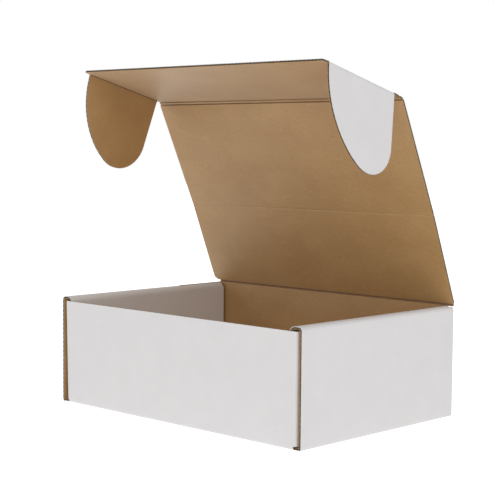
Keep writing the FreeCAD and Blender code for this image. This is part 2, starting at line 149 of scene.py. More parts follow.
def cut_away(piece, point, outward):
    """Cut off what lies past a plane."""
    start_object(piece)
    bpy.ops.object.mode_set(mode="EDIT")
    bpy.ops.mesh.select_all(action="SELECT")
    bpy.ops.mesh.bisect(plane_co=point, plane_no=outward, clear_outer=True, threshold=SAME_CUT)
    bpy.ops.object.mode_set(mode="OBJECT")


def cut_out(piece, planes, inside):
    """Score a piece along planes, then drop the faces whose middle passes a test."""
    start_object(piece)
    bpy.ops.object.mode_set(mode="EDIT")
    for point, normal in planes:
        bpy.ops.mesh.select_all(action="SELECT")
        bpy.ops.mesh.bisect(plane_co=point, plane_no=normal, threshold=SAME_CUT)
    bpy.ops.mesh.select_all(action="DESELECT")
    bpy.ops.mesh.select_mode(type="FACE")
    mesh = bmesh.from_edit_mesh(piece.data)
    for face in mesh.faces:
        face.select_set(inside(face.calc_center_median()))
    bmesh.update_edit_mesh(piece.data)
    bpy.ops.mesh.delete(type="FACE")
    bpy.ops.mesh.select_mode(type="VERT")
    bpy.ops.object.mode_set(mode="OBJECT")


def own_copy(piece, name):
    """A copy of a piece, with its own mesh."""
    start_object(piece)
    bpy.ops.object.duplicate()
    copy = bpy.context.object
    copy.name = copy.data.name = name
    return copy


def set_down(pieces, place):
    """Put pieces at a place, which their meshes then hold."""
    for piece in pieces:
        start_object(piece)
        piece.matrix_world = place
        bpy.ops.object.transform_apply(location=True, rotation=True, scale=True)


def join_layers(first, others, name):
    """Make one piece of some layers, smooth apart from its sharp edges."""
    start_object(first)
    for layer in others:
        layer.select_set(True)
    bpy.ops.object.join()
    piece = bpy.context.object
    piece.name = piece.data.name = name
    bpy.ops.object.shade_smooth_by_angle(angle=math.radians(25))
    return piece


# %% Pull a folded sheet out of a plane
def folded_sheet(name, corners, radii, sweep, outward):
    """A sheet with no thickness through a line of corners, pulled along sweep, round at each fold."""
    corners = [Vector(corner) for corner in corners]
    sweep, outward = Vector(sweep), Vector(outward)
    first_run = corners[1] - corners[0]
    start_object()
    bpy.ops.mesh.primitive_plane_add(size=1)
    sheet = bpy.context.object
    sheet.name = sheet.data.name = name
    facing = first_run.cross(sweep).normalized()
    middle = corners[0] + first_run / 2 + sweep / 2
    set_down([sheet], Matrix.Translation(middle) @ Matrix((first_run, sweep, facing)).transposed().to_4x4())
    bpy.ops.object.mode_set(mode="EDIT")
    along = sweep.normalized()

    def near_line(corner):
        return lambda at: (at - corner).cross(along).length < SAME_PLACE

    for corner, after in zip(corners[1:], corners[2:]):
        pick_edges(near_line(corner))
        bpy.ops.mesh.extrude_edges_move(TRANSFORM_OT_translate={"value": after - corner})
    for index, radius in enumerate(radii, start=1):
        before = (corners[index] - corners[index - 1]).normalized()
        after = (corners[index + 1] - corners[index]).normalized()
        pick_edges(near_line(corners[index]))
        reach = radius * math.tan(before.angle(after) / 2)
        bpy.ops.mesh.bevel(offset=reach, segments=8, profile=0.5, affect="EDGES", clamp_overlap=False)
    bpy.ops.mesh.select_all(action="SELECT")
    bpy.ops.mesh.normals_make_consistent(inside=False)
    bpy.ops.object.mode_set(mode="OBJECT")
    first_face = min(sheet.data.polygons, key=lambda face: (face.center - middle).length)
    if first_face.normal.dot(outward) < 0:
        sheet.data.flip_normals()
    return sheet


# %% [markdown]
# ## The board itself
# Corrugated board is two papers and a wave. A Solidify modifier gives each paper its thickness, one
# just under the outside face and one at the inside face. The wave is drawn as a line of points, since
# no primitive has its shape, and is pulled along the board. Modelling it makes the cut edges real.

# %% Give a sheet its papers
def paper_layer(sheet, name, depth, material):
    """A paper whose outer face lies at a depth under the sheet's own face."""
    layer = own_copy(sheet, name)
    solid = layer.modifiers.new("thickness", "SOLIDIFY")
    solid.thickness = PAPER
    solid.offset = -1 - 2 * depth / PAPER
    solid.use_even_offset = True
    start_object(layer)
    bpy.ops.object.modifier_apply(modifier="thickness")
    layer.data.materials.clear()
    layer.data.materials.append(material)
    return layer


def wave_layer(name, line, inward, pull, material, cuts=(), openings=()):
    """The waved paper, between the two others, along a line across the waves."""
    points, steps, length = [], [], 0.0
    swing = (BOARD - 2 * PAPER - WAVE_PAPER) / 2
    for index, point in enumerate(line):
        if index:
            length += (point - line[index - 1]).length
        depth = BOARD / 2 + swing * math.sin(2 * math.pi * length / WAVE)
        points.append(point + inward[index] * depth)
        if index:
            steps.append((index - 1, index))
    mesh = bpy.data.meshes.new(name)
    mesh.from_pydata(points, steps, [])
    layer = bpy.data.objects.new(name, mesh)
    bpy.context.scene.collection.objects.link(layer)
    start_object(layer)
    bpy.ops.object.mode_set(mode="EDIT")
    bpy.ops.mesh.select_all(action="SELECT")
    bpy.ops.mesh.extrude_edges_move(TRANSFORM_OT_translate={"value": pull})
    bpy.ops.object.mode_set(mode="OBJECT")
    for point, outward in cuts:
        cut_away(layer, point, outward)
    for planes, inside in openings:
        cut_out(layer, planes, inside)
    solid = layer.modifiers.new("thickness", "SOLIDIFY")
    solid.thickness = WAVE_PAPER
    solid.offset = 0
    start_object(layer)
    bpy.ops.object.modifier_apply(modifier="thickness")
    layer.data.materials.append(material)
    return layer


def straight_line(start, end):
    """Points from start to end, close enough together to draw the wave."""
    count = max(2, round((end - start).length / WAVE_STEP))
    return [start.lerp(end, index / count) for index in range(count + 1)]


# %% [markdown]
# ## The papers
# Each paper is a colour that noise patterns make uneven: broad clouds, fine fibres, and specks. The
# patterns lie on the object's own place, so they stay with the sheet when a joint turns. Their sizes are
# in millimetres. A real fibre is only some hundredths of a millimetre thick, so the fibres are drawn
# coarser here, as bundles of half a millimetre and more, or they wouldn't show at all.

# %% Mix the papers
def from_hex(code):
    """An sRGB hex colour as the linear numbers that a shader takes."""
    parts = [int(code[i:i + 2], 16) / 255 for i in (0, 2, 4)]
    return tuple(c / 12.92 if c <= 0.04045 else ((c + 0.055) / 1.055) ** 2.4 for c in parts) + (1.0,)


def new_material(name):
    """An empty material, ready for nodes."""
    material = bpy.data.materials.new(name)
    material.use_nodes = True
    material.node_tree.nodes.clear()
    return material


def add_node(material, kind, settings=None, **links):
    """Add a node; a setting or a link whose name is a socket goes to that socket."""
    node = material.node_tree.nodes.new(kind)
    for key, value in (settings or {}).items():
        if key in node.inputs:
            node.inputs[key].default_value = value
        else:
            setattr(node, key, value)
    for key, source in links.items():
        material.node_tree.links.new(source, node.inputs[key.replace("_", " ")])
    return node


def join_nodes(material, output, node, socket):
    """Link an output to a node's socket, by its name or number."""
    material.node_tree.links.new(output, node.inputs[socket])


def pattern(material, size, detail=2.0):
    """Noise on the object's own place, with features of these mm along x, y and z."""
    place = add_node(material, "ShaderNodeTexCoord")
    spread = add_node(material, "ShaderNodeVectorMath", {"operation": "MULTIPLY"})
    spread.inputs[1].default_value = [1 / (length * MM) for length in size]
    join_nodes(material, place.outputs["Object"], spread, 0)
    return add_node(material, "ShaderNodeTexNoise", {"Scale": 1.0, "Detail": detail},
                    Vector=spread.outputs[0])


def between(material, noise, low, high, start, end):
    """Stretch the part of a noise from low to high over start to end."""
    ends = {"From Min": low, "From Max": high, "To Min": start, "To Max": end}
    return add_node(material, "ShaderNodeMapRange", ends, Value=noise.outputs[0])


def mix_colours(material, share, first, second, blend="MIX"):
    """Mix two colours, each a node or a plain colour, by a share, a node or a plain number."""
    mix = add_node(material, "ShaderNodeMixRGB", {"blend_type": blend})
    for socket, value in (("Fac", share), ("Color1", first), ("Color2", second)):
        if isinstance(value, (float, tuple)):
            mix.inputs[socket].default_value = value
        else:
            join_nodes(material, value.outputs[0], mix, socket)
    return mix


def flute_ridges(material):
    """The washboard that the waves press through the paper: a sine across the box, one wave long."""
    place = add_node(material, "ShaderNodeTexCoord")
    parts = add_node(material, "ShaderNodeSeparateXYZ", Vector=place.outputs["Object"])
    turns = add_node(material, "ShaderNodeMath", {"operation": "MULTIPLY"})
    turns.inputs[1].default_value = 2 * math.pi / WAVE
    join_nodes(material, parts.outputs["X"], turns, 0)
    ridge = add_node(material, "ShaderNodeMath", {"operation": "SINE"})
    join_nodes(material, turns.outputs[0], ridge, 0)
    return ridge


def finish_paper(material, colour, fibres, roughness, fibre_height, ridge_height, gloss=0.35, sheen=0.0):
    """Bump from fibres and ridges, heights in metres, then the shader."""
    rough = add_node(material, "ShaderNodeBump", {"Strength": 1.0, "Distance": fibre_height},
                     Height=fibres.outputs[0])
    ridged = add_node(material, "ShaderNodeBump", {"Strength": 1.0, "Distance": ridge_height},
                      Height=flute_ridges(material).outputs[0], Normal=rough.outputs[0])
    finish = {"Roughness": roughness, "Specular IOR Level": gloss, "Sheen Weight": sheen,
              "Sheen Roughness": 0.45}
    shader = add_node(material, "ShaderNodeBsdfPrincipled", finish, Base_Color=colour.outputs[0],
                      Normal=ridged.outputs[0])
    add_node(material, "ShaderNodeOutputMaterial", Surface=shader.outputs["BSDF"])
    return material


def brown_paper(name, dark, light, speck, roughness):
    """Unbleached paper between a dark and a light brown, with fibres, scuffs and specks."""
    paper = new_material(name)
    clouds = between(paper, pattern(paper, (34, 22, 22), 3.0), 0.32, 0.68, 0.0, 1.0)
    colour = mix_colours(paper, clouds, from_hex(dark), from_hex(light))
    fibres = pattern(paper, (3.4, 0.55, 0.55), 4.0)
    streaks = between(paper, fibres, 0.3, 0.7, 0.92, 1.07)
    colour = mix_colours(paper, 1.0, colour, streaks, "MULTIPLY")
    scuffs = between(paper, pattern(paper, (9, 2.4, 2.4), 5.0), 0.60, 0.76, 0.0, 0.18)
    colour = mix_colours(paper, scuffs, colour, from_hex("D2B895"))
    specks = between(paper, pattern(paper, (1.5, 0.9, 0.9), 1.0), 0.70, 0.78, 0.0, 0.55)
    colour = mix_colours(paper, specks, colour, from_hex(speck))
    return finish_paper(paper, colour, fibres, roughness, fibre_height=0.05 * MM, ridge_height=0.008 * MM,
                        gloss=0.7, sheen=0.3)


# %% Bleached white liner
# The outside: a bleached top layer, pressed smooth by the paper machine and matte. It shows as an even,
# cool white with clouds that are barely there, where the brown pulp under it comes through a little.
white_liner = new_material("bleached_white_liner")
thin_places = between(white_liner, pattern(white_liner, (16, 16, 16), 3.0), 0.3, 0.7, 0.0, 1.0)
white_tone = mix_colours(white_liner, thin_places, from_hex("E0DEDE"), from_hex("E3E1E1"))
white_fibres = pattern(white_liner, (1.6, 0.7, 0.7), 3.0)
white_specks = between(white_liner, pattern(white_liner, (1.1, 1.1, 1.1), 1.0), 0.73, 0.80, 0.0, 0.25)
white_tone = mix_colours(white_liner, white_specks, white_tone, from_hex("A89C90"))
finish_paper(white_liner, white_tone, white_fibres, roughness=0.72, fibre_height=0.02 * MM,
             ridge_height=0.005 * MM)

# %% Unbleached kraft liner
# The inside: brown wood pulp, unbleached, with coarser fibres but pressed hard, so that it shines a
# little where it is seen at a flat angle. It shows as a warm brown with long fibres across the sheet,
# dark specks of bark, and paler scuffs where other sheets have rubbed it.
kraft_liner = brown_paper("unbleached_kraft_liner", dark="B08854", light="B9925D", speck="6B4A28",
                          roughness=0.5)

# %% Crushed kraft, with painted shade
# The same paper down in a crease, where the rule of the die has crushed it: duller because its face is
# broken, and darker, partly from the crushing and partly as painted shade for the groove.
crushed_kraft_painted_shade = brown_paper("crushed_kraft_liner_with_painted_shade", dark="8A663E", light="967149", speck="5A3E22",
                            roughness=0.7)

# %% Waved medium
# The wave between the liners: a thin recycled paper, duller and greyer, seen only at the cut edges.
# Its dark brown is partly the paper's own and partly painted shade for the hollows between the waves.
flute_medium_painted_shade = brown_paper("waved_recycled_medium_with_painted_shade", dark="6E5B42", light="80694B", speck="4E3A22",
                          roughness=0.9)


# %% Join the layers of a board into one piece
def flat_waves(name, start, across, inward, pull, cuts=(), openings=()):
    """The waved paper of a flat board, pulled from a straight edge that runs across the waves."""
    line = straight_line(start, start + across)
    return wave_layer(name, line, [inward] * len(line), pull, flute_medium_painted_shade, cuts, openings)


def finish_board(sheet, name, waves, body):
    """Papers from the sheet, the waves with them, all one piece on a body."""
    white = paper_layer(sheet, name, 0.0, white_liner)
    kraft = paper_layer(sheet, name + "_kraft", BOARD - PAPER, kraft_liner)
    bpy.data.objects.remove(sheet)
    piece = join_layers(white, [kraft] + waves, name)
    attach(piece, body)
    print(name, len(piece.data.polygons), "faces")
    return piece


# %% [markdown]
# ## Front wall, base and back wall
# Seen from the side these three walls are one channel. The sheet starts at the front wall's cut top
# edge and ends 1.2 mm under the hinge line, where the crease takes over. Its lower corners are cut
# away at a slant, where the die leaves room for the side folds. The base has two slots at each side for
# the tabs of the rolled walls, and the front wall's left edge leans in a little towards its foot.

# %% Fold the channel
FLAP_ROOM = 2.0 * MM
FLAP_OUT = HALF_WIDTH - BOARD - FLAP_ROOM
WALL_REACH = FLAP_OUT - BOARD - FOLD
X_AXIS, Y_AXIS, Z_AXIS = Vector((1, 0, 0)), Vector((0, 1, 0)), Vector((0, 0, 1))
left_edge = Vector((-WALL_REACH, 0, 0))
whole_width = 2 * WALL_REACH * X_AXIS
front_top = left_edge + Vector((0, -HALF_DEPTH, FRONT_TOP))
front_foot = left_edge + Vector((0, -HALF_DEPTH, 0))
back_foot = left_edge + Vector((0, HALF_DEPTH, 0))
back_top = left_edge + Vector((0, HALF_DEPTH, TURN_TOP - CREASE))
channel = folded_sheet("channel", [front_top, front_foot, back_foot, back_top],
                       [FOLD_ROUND] * 2, whole_width, -Y_AXIS)

# %% Where the channel is cut
inner_face, inner_back = HALF_WIDTH - ROLL_WIDTH, HALF_WIDTH - ROLL_WIDTH + BOARD
TAB_PLACE, TAB_HALF, SLOT_GAP = 38 * MM, 14 * MM, 0.4 * MM
RELIEF_START, RELIEF_ACROSS, RELIEF_UP, RELIEF_DEPTH = 106.6 * MM, 3.8 * MM, 3.6 * MM, 2.3 * MM
slant = Vector((RELIEF_UP, 0, -RELIEF_ACROSS)).normalized()
corner_planes = [(Vector((sign * RELIEF_START, 0, 0)), Vector((sign * slant.x, 0, slant.z)))
                 for sign in (1, -1)]
slot_edges = [(inner_face - SLOT_GAP, X_AXIS), (inner_back + SLOT_GAP, X_AXIS),
              (TAB_PLACE - TAB_HALF - SLOT_GAP, Y_AXIS), (TAB_PLACE + TAB_HALF + SLOT_GAP, Y_AXIS)]
slot_planes = [(sign * place * axis, axis) for place, axis in slot_edges for sign in (1, -1)]


def in_corner(at):
    """In the die-cut relief at the ends of the bottom folds."""
    past_slant = (abs(at.x) - RELIEF_START) * slant.x + at.z * slant.z > 0
    return abs(at.y) > HALF_DEPTH - RELIEF_DEPTH and past_slant


def in_slot(at):
    """In one of the four slots that the tabs go down through."""
    across = inner_face - SLOT_GAP < abs(at.x) < inner_back + SLOT_GAP
    return across and abs(abs(at.y) - TAB_PLACE) < TAB_HALF + SLOT_GAP and at.z < 2 * BOARD


FLAP_FOOT, LEAN, LEAN_DEPTH = 2.6 * MM, 1.8 * MM, 2.4 * MM
lean_point = Vector((-WALL_REACH, 0, FRONT_TOP))
lean_outward = Vector((FLAP_FOOT - FRONT_TOP, 0, -LEAN)).normalized()
lean_planes = [(lean_point, lean_outward), ((LEAN_DEPTH - HALF_DEPTH) * Y_AXIS, Y_AXIS)]


def past_lean(at):
    """Past the front wall's left fold, which leans in towards its foot."""
    return at.y < LEAN_DEPTH - HALF_DEPTH and (at - lean_point).dot(lean_outward) > 0


# %% Cut the channel and give it its waves
channel_openings = [(corner_planes, in_corner), (slot_planes, in_slot), (lean_planes, past_lean)]
for planes, inside in channel_openings:
    cut_out(channel, planes, inside)
channel_waves = []
up, back = FOLD_ROUND * Z_AXIS, FOLD_ROUND * Y_AXIS
for label, start, end, inward in (("front", front_top, front_foot + up, Y_AXIS),
                                  ("base", front_foot + back, back_foot - back, Z_AXIS),
                                  ("back", back_foot + up, back_top, -Y_AXIS)):
    channel_waves.append(flat_waves("wave_" + label, start, whole_width, inward, end - start,
                                    openings=channel_openings))
tray_board = finish_board(channel, "base_and_walls", channel_waves, "tray")

# %% [markdown]
# ## The rolled side walls
# Each side goes up outside, over the top in a strip and down again inside, so its end is an open arch.
# The waves run along the roll, so they show as a wave all round the arch. The papers come from a folded
# sheet, as before. The wave needs the same section as a line of points, so that line is rounded at its
# folds first.

# %% Round a section
def rounded_line(corners, radii):
    """Points along a section with round folds, and the way that the section runs at each."""
    points, heading = [], []
    start = corners[0]
    for index in range(1, len(corners)):
        before = (corners[index] - corners[index - 1]).normalized()
        last = index == len(corners) - 1
        after = before if last else (corners[index + 1] - corners[index]).normalized()
        angle = before.angle(after) if not last else 0.0
        reach = 0.0 if last else radii[index - 1] * math.tan(angle / 2)
        stop = corners[index] - before * reach
        run = straight_line(start, stop)
        points += run if not points else run[1:]
        heading += [before] * (len(points) - len(heading))
        if not last:
            axis = before.cross(after).normalized()
            centre = stop + axis.cross(before) * radii[index - 1]
            count = max(4, round(radii[index - 1] * angle / WAVE_STEP))
            for part in range(1, count + 1):
                turned = Matrix.Rotation(angle * part / count, 3, axis)
                points.append(centre + turned @ (stop - centre))
                heading.append(turned @ before)
            start = points[-1]
    return points, heading


def into_board(heading, sweep, outward):
    """The direction into the board at each point of a section whose first face looks outward."""
    flip = -1 if heading[0].cross(sweep).dot(outward) > 0 else 1
    return [flip * run.cross(sweep).normalized() for run in heading]


# %% Where the roll is cut
ROOM_FRONT, ROOM_BACK, ROOM_UNDER = 0.8 * MM, 1.5 * MM, 0.3 * MM
SHOULDER, LIP_TOP, BEVEL_ALONG, BEVEL_DOWN = 70.8 * MM, 3.6 * MM, 1.2 * MM, 4.0 * MM
INNER_MARGIN, OUTER_MARGIN = 0.5 * MM, 0.1 * MM
within_inner, within_outer = inner_back + INNER_MARGIN, HALF_WIDTH - BOARD - OUTER_MARGIN
panel_front, panel_back = -HALF_DEPTH + BOARD + ROOM_FRONT, HALF_DEPTH - BOARD - ROOM_BACK
lip_end, panel_foot = HALF_DEPTH - FOLD_ROUND, BOARD + ROOM_UNDER
bevel_point = Vector((0, panel_back - BEVEL_ALONG, ROLL_TOP))
bevel_outward = Vector((0, BEVEL_DOWN, BEVEL_ALONG)).normalized()
cuts_along = [panel_front, panel_back, lip_end, -lip_end]
cuts_along += [sign * (TAB_PLACE + half) for sign in (1, -1) for half in (TAB_HALF, -TAB_HALF)]
roll_planes = [(place * Y_AXIS, Y_AXIS) for place in cuts_along]
roll_planes += [(place * Z_AXIS, Z_AXIS) for place in (panel_foot, SHOULDER)] + [(bevel_point, bevel_outward)]


def off_roll(at):
    """Not part of the roll: beside the tabs, past the inner panel's ends, or past the bottom lip."""
    inner, within = abs(at.x) < within_inner, abs(at.x) < within_outer
    beside_tab = inner and at.z < panel_foot and abs(abs(at.y) - TAB_PLACE) > TAB_HALF
    past_front = inner and at.z < SHOULDER and at.y < panel_front
    past_back = (inner or (within and at.z > LIP_TOP)) and at.y > panel_back
    in_bevel = inner and (at - bevel_point).dot(bevel_outward) > 0
    past_lip = within and at.z < LIP_TOP and abs(at.y) > lip_end
    return beside_tab or past_front or past_back or in_bevel or past_lip


# %% Roll the side walls
ROLL_INSET, TAB_FOOT, OUTER_FOLD, INNER_FOLD = 0.6 * MM, 0.2 * MM, 1.0 * MM, 2.6 * MM
roll_half = HALF_DEPTH - ROLL_INSET
roll_radii = [FOLD_ROUND, BOARD + OUTER_FOLD, BOARD + INNER_FOLD]
roll_run = 2 * roll_half * Y_AXIS
for side, sign in (("right", 1), ("left", -1)):
    section = [Vector((sign * across, -roll_half, height)) for across, height in (
        (WALL_REACH, 0), (HALF_WIDTH, 0), (HALF_WIDTH, ROLL_TOP), (inner_face, ROLL_TOP),
        (inner_face, TAB_FOOT))]
    roll_sheet = folded_sheet(side + "_roll_sheet", section, roll_radii, roll_run, -Z_AXIS)
    cut_out(roll_sheet, roll_planes, off_roll)
    points, heading = rounded_line(section, roll_radii)
    inward = into_board(heading, Y_AXIS, -Z_AXIS)
    waves = [wave_layer("wave_" + side, points, inward, roll_run, flute_medium_painted_shade,
                        openings=[(roll_planes, off_roll)])]
    finish_board(roll_sheet, side + "_rolled_wall", waves, "tray")

# %% [markdown]
# ## The corner flaps
# The front and the back wall each end in an upright fold and a flap that is caught in the rolled wall.
# Only the fold shows from outside, but the flap closes the view through the open arch. The front left
# one is folded upright as the others are, and then turned to follow the leaning edge of its wall.

# %% Fold the four corner flaps
CORNER_FLAP = 45 * MM
lean_top = Matrix.Translation((-FLAP_OUT, 0, FRONT_TOP))
lean_angle = math.asin(LEAN / (FRONT_TOP - FLAP_FOOT))
lean_turn = lean_top @ Matrix.Rotation(-lean_angle, 4, "Y") @ lean_top.inverted()
for end_name, end_sign, top in (("front", -1, FRONT_TOP), ("back", 1, TURN_TOP - CREASE)):
    for side, sign in (("right", 1), ("left", -1)):
        section = [Vector((sign * WALL_REACH, end_sign * HALF_DEPTH, FLAP_FOOT)),
                   Vector((sign * FLAP_OUT, end_sign * HALF_DEPTH, FLAP_FOOT)),
                   Vector((sign * FLAP_OUT, end_sign * (HALF_DEPTH - CORNER_FLAP), FLAP_FOOT))]
        height = (top - FLAP_FOOT) * Z_AXIS
        flap_sheet = folded_sheet("flap_sheet", section, [FOLD_ROUND], height, end_sign * Y_AXIS)
        points, heading = rounded_line(section, [FOLD_ROUND])
        inward = into_board(heading, Z_AXIS, end_sign * Y_AXIS)
        waves = [wave_layer("wave_flap", points, inward, height, flute_medium_painted_shade)]
        if (end_name, side) == ("front", "left"):
            set_down([flap_sheet] + waves, lean_turn)
        finish_board(flap_sheet, "corner_flap_%s_%s" % (end_name, side), waves, "tray")

# %% [markdown]
# ## The lid
# The lid is drawn shut, running forward from its hinge line, and is then turned open about that line.
# It has a faint bend across it, and a narrow band between two creases at its front. The board is left
# out where the bend and the crease under the band go, so that their own strips can be laid there. Both
# lower corners are cut off, the left one more than the right.

# %% Draw the lid shut
BEND_ROUND, BAND_ROUND = 3.0 * MM, 2.4 * MM
lid_place = Matrix.Translation((0, HALF_DEPTH, TURN_TOP)) @ Matrix.Rotation(-LID_OPEN, 4, "X")
upper_run = Vector((0, -math.cos(LID_BEND), -math.sin(LID_BEND)))
band_run = Vector((0, -math.cos(LID_BEND + BAND_FOLD), -math.sin(LID_BEND + BAND_FOLD)))
bend_line = -LID_BEND_PLACE * Y_AXIS
band_fold_line = bend_line + (LID_LENGTH - LID_BEND_PLACE) * upper_run
turn_line = band_fold_line + BAND * band_run
band_end = turn_line - CREASE * band_run
lid_corners = [point - LID_HALF * X_AXIS for point in (-CREASE * Y_AXIS, bend_line, band_fold_line, band_end)]
lid_width = 2 * LID_HALF * X_AXIS
lid_sheet = folded_sheet("lid_sheet", lid_corners, [BEND_ROUND, BAND_ROUND], lid_width, Z_AXIS)

# %% Cut its corners and leave room for its creases
BAND_CREASE, BEND_CREASE = 0.9 * MM, 0.8 * MM
LEFT_ACROSS, LEFT_ALONG, RIGHT_ACROSS, RIGHT_ALONG = 4.5 * MM, 3.5 * MM, 1.4 * MM, 1.6 * MM
lid_cuts = []
for sign, across, along in ((-1, LEFT_ACROSS, LEFT_ALONG), (1, RIGHT_ACROSS, RIGHT_ALONG)):
    lid_cuts.append((sign * (LID_HALF - across) * X_AXIS, Vector((sign * along, across, 0)).normalized()))
band_cuts = [(Vector((sign * LID_HALF, band_fold_line.y, 0)),
              Vector((sign * BAND, -FLAP_INSET, 0)).normalized()) for sign in (1, -1)]
for point, outward in lid_cuts + band_cuts:
    cut_away(lid_sheet, point, outward)


def crease_opening(line, before, after, reach):
    """The strip that a crease takes on both sides of a line: the planes of its edges, and its test."""
    first_edge, last_edge = line - reach * before, line + reach * after
    return ([(first_edge, before), (last_edge, after)],
            lambda at: (at - first_edge).dot(before) > 0 > (at - last_edge).dot(after))


lid_openings = [crease_opening(band_fold_line, upper_run, band_run, BAND_CREASE),
                crease_opening(bend_line, -Y_AXIS, upper_run, BEND_CREASE)]
for planes, inside in lid_openings:
    cut_out(lid_sheet, planes, inside)

# %% Give the lid its waves, then open it
lid_waves = []
for index, (start, end) in enumerate(zip(lid_corners, lid_corners[1:])):
    inward = X_AXIS.cross((end - start).normalized())
    lid_waves.append(flat_waves("wave_lid", start, lid_width, inward, end - start,
                                band_cuts if index else lid_cuts, lid_openings))
set_down([lid_sheet] + lid_waves, lid_place)
lid_board = finish_board(lid_sheet, "lid_board", lid_waves, "lid")

# %% [markdown]
# ## The front flap and its ears
# The flap is drawn flat from its own hinge line, and the ears flat from its sides. The ear is cut round:
# a small nose where it meets its straight rear edge, and one large sweep back to the fold. The curve is
# cut with many short straight cuts, each a little further round.

# %% Draw the flap flat, then turn it
TIP_TAPER, EAR_GAP = 1.2 * MM, 0.2 * MM
flap_turn = Matrix.Rotation(LID_BEND + BAND_FOLD + FLAP_FOLD, 4, "X")
flap_place = lid_place @ Matrix.Translation(turn_line) @ flap_turn
ear_end = EAR_START + EAR_WIDTH
flap_start = Vector((-FLAP_HALF, -CREASE, 0))
flap_reach = (CREASE - FLAP_LENGTH) * Y_AXIS
flap_width = 2 * FLAP_HALF * X_AXIS
flap_sheet = folded_sheet("flap_sheet", [flap_start, flap_start + flap_reach], [], flap_width, Z_AXIS)
tip_slope = Vector((FLAP_LENGTH - ear_end, -TIP_TAPER, 0)).normalized()
flap_cuts = [(Vector((sign * FLAP_HALF, -ear_end, 0)), Vector((sign * tip_slope.x, tip_slope.y, 0)))
             for sign in (1, -1)]
ear_planes = [(sign * (FLAP_HALF - EAR_CREASE) * X_AXIS, X_AXIS) for sign in (1, -1)]
ear_planes += [(-place * Y_AXIS, Y_AXIS) for place in (EAR_START - EAR_GAP, ear_end + EAR_GAP)]


def beside_ear(at):
    """In the strip that the ear's crease takes."""
    return abs(at.x) > FLAP_HALF - EAR_CREASE and EAR_START - EAR_GAP < -at.y < ear_end + EAR_GAP


for point, outward in flap_cuts:
    cut_away(flap_sheet, point, outward)
cut_out(flap_sheet, ear_planes, beside_ear)
flap_waves = [flat_waves("wave_flap", flap_start, flap_width, -Z_AXIS, flap_reach, flap_cuts,
                         [(ear_planes, beside_ear)])]
set_down([flap_sheet] + flap_waves, flap_place)
flap_board = finish_board(flap_sheet, "front_flap_board", flap_waves, "front_flap")

# %% Work out the cuts round an ear
ARC_CUTS = 24
nose_reach, nose_side = EAR_LENGTH - EAR_NOSE, EAR_WIDTH - EAR_NOSE
sweep_radius = (nose_side ** 2 + nose_reach ** 2 - EAR_NOSE ** 2) / (2 * (nose_side - EAR_NOSE))
nose_centre = Vector((nose_reach, -EAR_START - EAR_NOSE, 0))
sweep_centre = Vector((0, -ear_end + sweep_radius, 0))
meeting = math.atan2(*(nose_centre - sweep_centre).yx)
round_cuts = []
for centre, radius, first, last in ((nose_centre, EAR_NOSE, math.pi / 2, meeting),
                                    (sweep_centre, sweep_radius, meeting, -math.pi / 2)):
    for part in range(ARC_CUTS):
        angle = first + (last - first) * (part + 0.5) / ARC_CUTS
        outward = Vector((math.cos(angle), math.sin(angle), 0))
        round_cuts.append((centre + outward * radius, outward))
print("large sweep of the ear", round(sweep_radius / MM, 1), "mm in radius")

# %% Cut and turn the ears
for side, sign in (("right", 1), ("left", -1)):
    mirror = Matrix.Diagonal((sign, 1, 1))
    cuts = [(mirror @ point, mirror @ outward) for point, outward in round_cuts]
    ear_start = Vector((sign * EAR_CREASE, -EAR_START, 0))
    ear_reach = Vector((sign * (EAR_LENGTH - EAR_CREASE), 0, 0))
    ear_along = Vector((0, -EAR_WIDTH, 0))
    ear_sheet = folded_sheet(side + "_ear_sheet", [ear_start, ear_start + ear_reach], [], ear_along, Z_AXIS)
    for point, outward in cuts:
        cut_away(ear_sheet, point, outward)
    ear_waves = [flat_waves("wave_ear", ear_start, ear_reach, -Z_AXIS, ear_along, cuts)]
    ear_turn = Matrix.Rotation(sign * EAR_FOLD, 4, "Y")
    set_down([ear_sheet] + ear_waves, flap_place @ Matrix.Translation((sign * FLAP_HALF, 0, 0)) @ ear_turn)
    ear_board = finish_board(ear_sheet, side + "_ear_board", ear_waves, side + "_ear")
    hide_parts(side + "_ear")

# %% [markdown]
# ## The creases
# At a fold that turns, both papers carry on from one board to the next: the white one goes round the
# outside, and the kraft one is pressed down into a groove. A strip between two bodies is laid at rest
# and left on no body, with its place held in its mesh. The bend across the lid and the crease under
# its band are laid in the same way, but nothing turns there, so both strips ride on the lid.

# %% How a crease is laid
GROOVE_DEPTH, GROOVE_ROUND, ROUND_SHARE = 0.55 * MM, 0.25 * MM, 0.96


# By default the kraft in a groove is the crushed kraft, which is darker partly as painted shade.
def crease(name, pivot, sweep, to_first, into_first, to_second, into_second, reach, bodies,
           depth=GROOVE_DEPTH, inner_paper=crushed_kraft_painted_shade):
    """Both papers across a fold, on one body, or laid at rest between two bodies and left on none."""
    outside = -(into_first + into_second).normalized()
    first, second = pivot + to_first * reach, pivot + to_second * reach
    angle = math.pi - to_first.angle(to_second)
    white_round = ROUND_SHARE * reach / math.tan(angle / 2)
    white_sheet = folded_sheet(name, [first, pivot, second], [white_round], sweep, outside)
    groove = [first + into_first * BOARD, pivot - outside * depth, second + into_second * BOARD]
    kraft_sheet = folded_sheet(name + "_kraft", groove, [GROOVE_ROUND], sweep, outside)
    white = paper_layer(white_sheet, name, 0.0, white_liner)
    kraft = paper_layer(kraft_sheet, name + "_kraft", -PAPER, inner_paper)
    bpy.data.objects.remove(white_sheet)
    bpy.data.objects.remove(kraft_sheet)
    strip = join_layers(white, [kraft], name)
    if len(bodies) == 1:
        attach(strip, bodies[0])
    else:
        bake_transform(strip)
    print(name, "folds", round(math.degrees(angle), 1), "degrees at rest")


